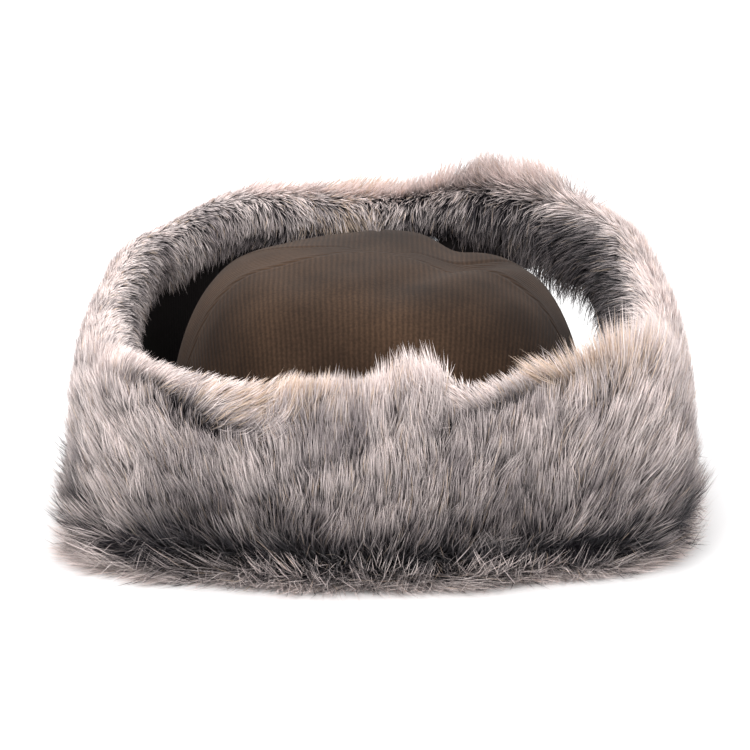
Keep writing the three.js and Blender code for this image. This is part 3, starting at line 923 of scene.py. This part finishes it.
def hair_uv(turn, share, past_part, height, roots_and_shade, tone, steps, rng):
    """UVs of the strips' vertices: U from dark root to pale tip, V the tone of the hair.

    U grows late on hair with dark roots showing and on hair with painted shade. It starts higher on the
    crest, on hair that is cut short, and on the rim at the back: pale hair, with a painted highlight on
    the crest and the rim.
    """
    # Painted highlight on the crest and on the rim at the back, over their pale tips
    crest = bump(share, 0.64, 0.07)
    pale = bump_round(turn, 178.0, 40.0) * bump(share, 0.69, 0.07)
    tone = np.clip(tone + 0.14 * crest + 0.14 * pale, 0.02, GREY_TONE)
    warm = rng.uniform(0, 1, len(turn)) < 0.04 + warm_share(turn, height)
    tone = np.where(warm, WARM_TONE + 0.2 * tone / GREY_TONE, tone)
    along = np.concatenate([np.repeat(np.arange(steps) / steps, 2), [1.0]])
    along = along[None, :] ** (1 + 1.4 * roots_and_shade[:, None]) * (1 - 0.25 * roots_and_shade[:, None])
    short = (1 - round_table(turn, UPPER_REACH)) * np.clip(past_part / 0.1, 0, 1)
    # Roots lighter on the crest and the back rim as painted highlight, and on short hair
    lighter = (0.3 * crest + 0.25 * short + 0.25 * pale) * (1 - roots_and_shade)
    along = along + lighter[:, None] + rng.normal(0, 0.05, len(turn))[:, None]
    return np.stack(np.broadcast_arrays(np.clip(along, 0.01, 0.99), tone[:, None]), -1)


def hair_strips(line, facing, half, uv):
    """Strips along middle lines, square to a facing, with a triangle at the tip."""
    count, steps = line.shape[0], line.shape[1] - 1
    heading = unit(np.gradient(line, axis=1))
    side = unit(np.cross(heading, np.broadcast_to(facing[:, None, :], heading.shape)))
    pair = np.stack([line - side * half, line + side * half], 2)[:, :steps]
    vertices = np.concatenate([pair.reshape(count, -1, 3), line[:, steps:]], 1)
    each = 2 * steps + 1
    start = np.arange(count)[:, None] * each
    k = np.arange(steps - 1)
    quads = np.stack([2 * k, 2 * k + 1, 2 * k + 3, 2 * k + 2], -1)
    quads = (start[:, :, None] + quads[None]).reshape(-1, 4)
    tips = start + np.array([[each - 3, each - 2, each - 1]])
    return vertices.reshape(-1, 3), quads, tips, uv.reshape(-1, 2)


def warm_share(turn, height):
    """Share of warmer hair at an angle and height, from the table of patches."""
    total = np.zeros_like(turn)
    for angle, middle, spread, tall in WARM_PATCHES:
        total = total + 0.7 * bump_round(turn, angle, spread) * bump(height, middle, tall)
    return total


def band_darkness(arc, share, part):
    """How much of the dark lower coat shows: most over the part line, in patches."""
    patches = 0.72 + 0.45 * soft_noise(arc, share * 40.0, 51, 50.0)
    patches = patches + 0.35 * soft_noise(arc, share * 60.0, 52, 17.0)
    above = (share - part) / 0.12
    return np.clip(bump(np.maximum(above, 0), 0, 1) * patches, 0, 1) * (above > -0.1)


def inner_shade_and_roots(turn, share):
    """Painted shade on the inner edge over its dark roots: by the table, later at the back, full by the
    crown.
    """
    behind = bump_round(turn, 178.0, 40.0)
    inner = np.clip((share - 0.7 - 0.06 * behind) / 0.06, 0, 1) * round_table(turn, INNER_SHADE_AND_ROOTS)
    return np.maximum(inner, behind * np.clip((share - INNER_LOW) / 0.07, 0, 1))


def crease_effect(turn, height, share):
    """Painted shade in a crease, and the sideways lean of the ridge over it, on the outer face."""
    dark, ridge = np.zeros_like(turn), np.zeros_like(turn)
    outside = (share > PART_LINE) & (share < 0.66)
    for angles, heights in CREASES:
        above = height + 5.0 - np.interp(turn, angles, heights)
        past = np.maximum(angles[0] - turn, 0) + np.maximum(turn - angles[-1], 0)
        near = bump(past, 0, 3.0) * outside
        # Painted shade along the crease line
        dark = np.maximum(dark, near * bump(above, 0, 4.0))
        way = -np.sign(angles[0] + angles[-1])
        ridge = ridge + 1.3 * way * near * np.clip(above / 6.0, 0, 1)
    return dark, ridge


def over_opening(turn, height, share):
    """Hair rooted just over the opening, on the outer face, which hangs in front of it."""
    angle, top = OPENING_TOP
    over = height - FLAP_RISE * np.interp(np.mod(turn, 360.0), angle, top)
    inside = (np.mod(turn, 360.0) > angle[0]) & (np.mod(turn, 360.0) < angle[-1])
    return inside & (over < 13.0) & (share > 0.38) & (share < 0.62)


def hair_lean(turn, share):
    """Lean from the tables: the outer face's, turning into the crest's and back inside."""
    crest = bump(share, 0.63, 0.07)
    return (1 - crest) * round_table(turn, OUTER_LEAN) + crest * round_table(turn, CREST_LEAN)


def edge_lean(flap, across, root, share):
    """Hair at the sides of the opening leans over its edge, to hang in front of it."""
    if flap not in {"ear_left", "neck"}:
        return 0.0
    to_edge = (1 - across if flap == "ear_left" else across) * np.hypot(root[:, 0], root[:, 1])
    to_edge = to_edge * np.radians(abs(FLAPS[flap]["to"][0] - FLAPS[flap]["from"][0]))
    outside = (share > 0.38) & (share < 0.6)
    way = 1.0 if flap == "ear_left" else -1.0
    return way * 1.9 * bump(to_edge, 0, 9.0) * outside


def hair_reach(turn, share, depth):
    """Length of hair in millimetres: the depth to fill over the sine of its mean tilt.

    Tables then change it round the hat, and it is short on the inner edge near the press stud
    and at the back, where the dark cloth shows under it.
    """
    tilt = np.radians(np.interp(share, COAT_PLACE, COAT_TILT))
    length = np.maximum(depth, 4.0) / np.sin(0.68 * tilt + 0.08)
    length = np.clip(length * np.interp(share, COAT_PLACE, COAT_REACH), 8.0, 34.0)
    fringe = np.clip((PART_LINE + 0.05 - share) / 0.05, 0, 1)
    upper = (1 - fringe) * np.clip((0.76 - share) / 0.06, 0, 1)
    length = length * (1 + upper * (round_table(turn, UPPER_REACH) - 1))
    length = length * (1 + fringe * (round_table(turn, FRINGE_REACH) - 1))
    length = length + round_table(turn, INNER_EXTRA) * np.clip((share - 0.72) / 0.08, 0, 1)
    by_stud = bump_round(turn, STUD_ANGLE, 6.0) * (share > INNER_LOW)
    behind = bump_round(turn, 185.0, 32.0) * (share > INNER_LOW)
    length = length * (1 - 0.7 * by_stud) * (1 - 0.45 * behind)
    extra = sum(more * bump_round(turn, angle, spread) for angle, spread, more in CREST_TUFTS)
    return length * (1 + extra * bump(share, 0.64, 0.09))


def hair_lines(base, ways, traits, steps, tilt_shift, sway_shift, stretch):
    """Middle lines of hairs: they leave at the tilt and bend level and up as they grow."""
    a, s, sway, length, falls = traits.T
    falls = falls > 0.5
    share = s / (base.shape[1] - 1)
    tangent, side = unit(grid_sample(ways[0], a, s)), unit(grid_sample(ways[1], a, s))
    normal = unit(np.cross(side, tangent))
    tangent = np.where(falls[:, None], -tangent, tangent)
    turn = sway + sway_shift * np.where(share < PART_LINE, 2.5, 1.0)
    line = tangent * np.cos(turn)[:, None] + side * np.sin(turn)[:, None]
    tilt = np.where(falls & (share < 0.35), FRINGE_TILT, np.interp(share, COAT_PLACE, COAT_TILT))
    tilt = np.radians(tilt + tilt_shift)[:, None]
    bent = tilt * np.where(falls, 0.8, 0.3)[:, None]
    first = line * np.cos(tilt) + normal * np.sin(tilt)
    last = line * np.cos(bent) + normal * np.sin(bent)
    lift = np.array([0, 0, 0.3]) * (~falls & (share < 0.7))[:, None]
    last = unit(last + lift)
    t = (np.arange(steps + 1) / steps)[None, :, None]
    bend = t * first[:, None, :] + 0.5 * t**2 * (last - first)[:, None, :]
    start = grid_sample(base, a, s)
    return start[:, None, :] + (length * stretch)[:, None, None] * bend


class BuildFur(bpy.types.Operator):
    """Build the undercoat and the hair of every flap"""

    bl_idname = "winter_hat.build_fur"
    bl_label = "Fur"

    def execute(self, context):
        sizes, look = context.scene.hat_sizes, context.scene.hat_colours
        down, hair = undercoat_material(look), fur_material(look)
        for number, flap in enumerate(FLAPS):
            across = np.linspace(0, 1, 73)
            outer = pile_grid(flap, across, 52, UNDERCOAT)
            base = make_wall(flap + "_undercoat", outer, pile_grid(flap, across, 52, 0.0))
            turn_out(base)
            base.data.materials.append(down)
            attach(base, "root")
            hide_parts(flap + "_fur")
            for k, (kind, coat) in enumerate(COATS.items()):
                vertices, quads, tips, vertex_uv = grow_hair(
                    flap, 100 * (number + 1) + k, coat, sizes.hair_width * 1000
                )
                uv = np.vstack([vertex_uv[quads.ravel()], vertex_uv[tips.ravel()]])
                piece = make_object(flap + "_" + kind, vertices, [quads, tips], uv, "OFBake")
                piece.data.materials.append(hair)
                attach(piece, "root")
                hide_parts(flap + "_fur")
        return {"FINISHED"}


class BuildStud(bpy.types.Operator):
    """Finish the press stud on the neck flap"""

    bl_idname = "winter_hat.build_stud"
    bl_label = "Press stud"

    def execute(self, context):
        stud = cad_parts["press_stud"]
        metal = metal_material()
        for slot in stud.material_slots:
            slot.material = metal
        return {"FINISHED"}


# Lights: place in metres and power in watts
LIGHTS = (
    ("key", (-0.7, -0.9, 1.7), 26.0),
    ("fill", (1.5, -0.9, 0.9), 9.0),
    ("rear", (0.2, 1.4, 1.6), 18.0),
)
LIGHT_SIZE = 1.2

# Camera: distance and height of its aim in metres, degrees above level, and how many pixels
# of the photograph's 750 a length of one thousandth of the distance covers
CAMERA_DISTANCE = 1.3
CAMERA_AIM = 0.0516
CAMERA_LIFT = 15.0
PIXELS_PER_THOUSANDTH = 2.951
PHOTO_WIDTH = 750.0


class BuildStage(bpy.types.Operator):
    """Set the floor, the lights and the camera"""

    bl_idname = "winter_hat.build_stage"
    bl_label = "Stage"

    def execute(self, context):
        self.add_floor(context)
        self.add_lights(context)
        self.add_camera(context)
        return {"FINISHED"}

    @staticmethod
    def add_floor(context):
        """A pale sheet: level under the hat, then rising behind it on a wide curve."""
        x = np.linspace(-6, 6, 5)[:, None]
        way = np.linspace(-6, 10, 120)[None, :]
        bend = np.clip(way - 2.5, 0, None)
        z = np.broadcast_to(0.12 * bend**2, (5, 120))
        grid = np.stack(np.broadcast_arrays(x, way, z), -1).reshape(-1, 3)
        mesh = bpy.data.meshes.new("floor")
        mesh.from_pydata(grid.tolist(), [], grid_quads(5, 120).tolist())
        floor = bpy.data.objects.new("floor", mesh)
        context.collection.objects.link(floor)
        material, nodes, links, shader = new_material("pale_floor")
        grain = add_noise(nodes, links, 3.0, 2.0)
        colour = add_ramp(nodes, links, grain, [(0.3, (0.86, 0.86, 0.87)), (0.7, (0.9, 0.9, 0.9))])
        links.new(colour, shader.inputs["Base Color"])
        shader.inputs["Roughness"].default_value = 0.7
        mesh.materials.append(material)

    @staticmethod
    def add_lights(context):
        """A large soft light over the front left, a fill at the right and a pale world."""
        world = bpy.data.worlds.new("studio")
        context.scene.world = world
        world.use_nodes = True
        background = world.node_tree.nodes["Background"]
        background.inputs["Color"].default_value = (1.0, 0.985, 0.98, 1.0)
        background.inputs["Strength"].default_value = 0.95
        aim = Vector((0, 0, 0.05))
        for name, where, power in LIGHTS:
            light = bpy.data.lights.new(name, "AREA")
            light.size = LIGHT_SIZE
            light.energy = power
            lamp = bpy.data.objects.new(name, light)
            lamp.location = where
            lamp.rotation_euler = (aim - Vector(where)).to_track_quat("-Z", "Y").to_euler()
            context.collection.objects.link(lamp)

    @staticmethod
    def add_camera(context):
        """The photograph's view, from over the front."""
        camera = bpy.data.cameras.new("photo_view")
        camera.sensor_width = 36.0
        camera.lens = camera.sensor_width * PIXELS_PER_THOUSANDTH * 1000.0 / PHOTO_WIDTH
        camera.clip_start = 0.05
        view = bpy.data.objects.new("photo_view", camera)
        target = Vector((0.0, 0.0, CAMERA_AIM))
        lift = np.radians(CAMERA_LIFT)
        way = Vector((0.0, -np.cos(lift), np.sin(lift)))
        view.location = target + CAMERA_DISTANCE * way
        view.rotation_euler = (target - view.location).to_track_quat("-Z", "Y").to_euler()
        context.collection.objects.link(view)
        context.scene.camera = view


class HatPanel(bpy.types.Panel):
    """Steps and settings of the hat, in the sidebar"""

    bl_idname = "VIEW3D_PT_winter_hat"
    bl_label = "Winter Hat"
    bl_space_type = "VIEW_3D"
    bl_region_type = "UI"
    bl_category = "Winter Hat"

    def draw(self, context):
        for group in (context.scene.hat_sizes, context.scene.hat_colours):
            for name in group.bl_rna.properties.keys():
                if name not in {"rna_type", "name"}:
                    self.layout.prop(group, name)
        for step in STEPS:
            self.layout.operator(step.bl_idname)


STEPS = (BuildCrown, BuildFlapCloth, BuildFur, BuildStud, BuildStage)
CLASSES = (HatSizes, HatColours, *STEPS, HatPanel)


def register():
    """Registers the classes and the scene's settings."""
    for item in CLASSES:
        bpy.utils.register_class(item)
    bpy.types.Scene.hat_sizes = PointerProperty(type=HatSizes)
    bpy.types.Scene.hat_colours = PointerProperty(type=HatColours)


def unregister():
    """Takes the settings and the classes away again."""
    del bpy.types.Scene.hat_colours
    del bpy.types.Scene.hat_sizes
    for item in reversed(CLASSES):
        bpy.utils.unregister_class(item)


def main():
    """Builds the hat and its stage."""
    register()
    bpy.context.scene.view_settings.view_transform = "Standard"
    bpy.ops.winter_hat.build_crown()
    bpy.ops.winter_hat.build_flap_cloth()
    bpy.ops.winter_hat.build_fur()
    bpy.ops.winter_hat.build_stud()
    bpy.ops.winter_hat.build_stage()


if __name__ == "__main__":
    main()
